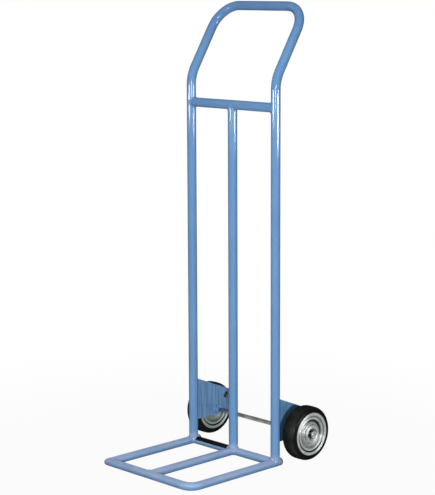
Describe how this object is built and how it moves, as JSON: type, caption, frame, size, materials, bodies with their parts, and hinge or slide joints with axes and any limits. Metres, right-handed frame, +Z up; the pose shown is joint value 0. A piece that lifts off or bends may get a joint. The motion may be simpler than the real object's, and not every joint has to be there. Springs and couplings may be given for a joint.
{
  "type": "two-wheel hand truck",
  "caption": "Upright two-wheel hand truck of welded blue tube, with a leaning loop handle, a flat open tube toe and solid-tyred disc wheels on a through axle.",
  "frame": {"origin": "on the floor, under the middle of the whole truck's box", "axes": "+Z up along the uprights, +Y from the toe back towards the wheels, +X along the axle towards the toe's bent corner"},
  "size_m": [0.4458, 0.4886, 1.2457],
  "materials": {
    "blue_paint": "gloss enamel over welded steel tube and plate, slightly worn at edges",
    "black_plastic": "matte moulded end plugs",
    "axle_steel": "dark drawn steel rod",
    "zinc_hardware": "bright zinc plate",
    "zinc_disc": "zinc plated pressed sheet",
    "bearing_steel": "ground bearing steel",
    "cage_plastic": "natural nylon",
    "seal_rubber": "black moulded seal",
    "black_rubber": "solid rubber with a plain tread"
  },
  "bodies": {
    "frame": {"main_loop_tube": "blue_paint", "crossbar": "blue_paint", "centre_upright": "blue_paint", "toe_front_tube": "blue_paint", "toe_left_bar": "blue_paint", "toe_centre_bar": "blue_paint", "toe_back_tube": "blue_paint", "plug_left_tail": "black_plastic", "plug_right_tail": "black_plastic", "axle": "axle_steel", "left_bracket": "blue_paint", "left_axle_boss": "blue_paint", "left_inner_spacer": "zinc_hardware", "left_bearing_spacer": "zinc_hardware", "left_washer": "zinc_hardware", "left_axle_nut": "zinc_hardware", "left_outer_bearing_inner_race": "bearing_steel", "left_inner_bearing_inner_race": "bearing_steel", "right_bracket": "blue_paint", "right_axle_boss": "blue_paint", "right_inner_spacer": "zinc_hardware", "right_bearing_spacer": "zinc_hardware", "right_washer": "zinc_hardware", "right_axle_nut": "zinc_hardware", "right_outer_bearing_inner_race": "bearing_steel", "right_inner_bearing_inner_race": "bearing_steel"},
    "left_wheel": {"left_tyre": "black_rubber", "left_outer_disc": "zinc_disc", "left_inner_disc": "zinc_disc", "left_rim_drum": "zinc_disc", "left_hub_sleeve": "zinc_disc", "left_outer_bearing_outer_race": "bearing_steel", "left_outer_bearing_balls": "bearing_steel", "left_outer_bearing_cage": "cage_plastic", "left_outer_bearing_seals": "seal_rubber", "left_inner_bearing_outer_race": "bearing_steel", "left_inner_bearing_balls": "bearing_steel", "left_inner_bearing_cage": "cage_plastic", "left_inner_bearing_seals": "seal_rubber"},
    "right_wheel": {"right_tyre": "black_rubber", "right_outer_disc": "zinc_disc", "right_inner_disc": "zinc_disc", "right_rim_drum": "zinc_disc", "right_hub_sleeve": "zinc_disc", "right_outer_bearing_outer_race": "bearing_steel", "right_outer_bearing_balls": "bearing_steel", "right_outer_bearing_cage": "cage_plastic", "right_outer_bearing_seals": "seal_rubber", "right_inner_bearing_outer_race": "bearing_steel", "right_inner_bearing_balls": "bearing_steel", "right_inner_bearing_cage": "cage_plastic", "right_inner_bearing_seals": "seal_rubber"}
  },
  "joints": [
    {"name": "left_wheel_spin", "type": "hinge", "parent": "frame", "child": "left_wheel", "pos_m": [-0.18925, 0.1703, 0.083], "axis": [1, 0, 0], "continuous": true},
    {"name": "right_wheel_spin", "type": "hinge", "parent": "frame", "child": "right_wheel", "pos_m": [0.18925, 0.1703, 0.083], "axis": [1, 0, 0], "continuous": true}
  ]
}
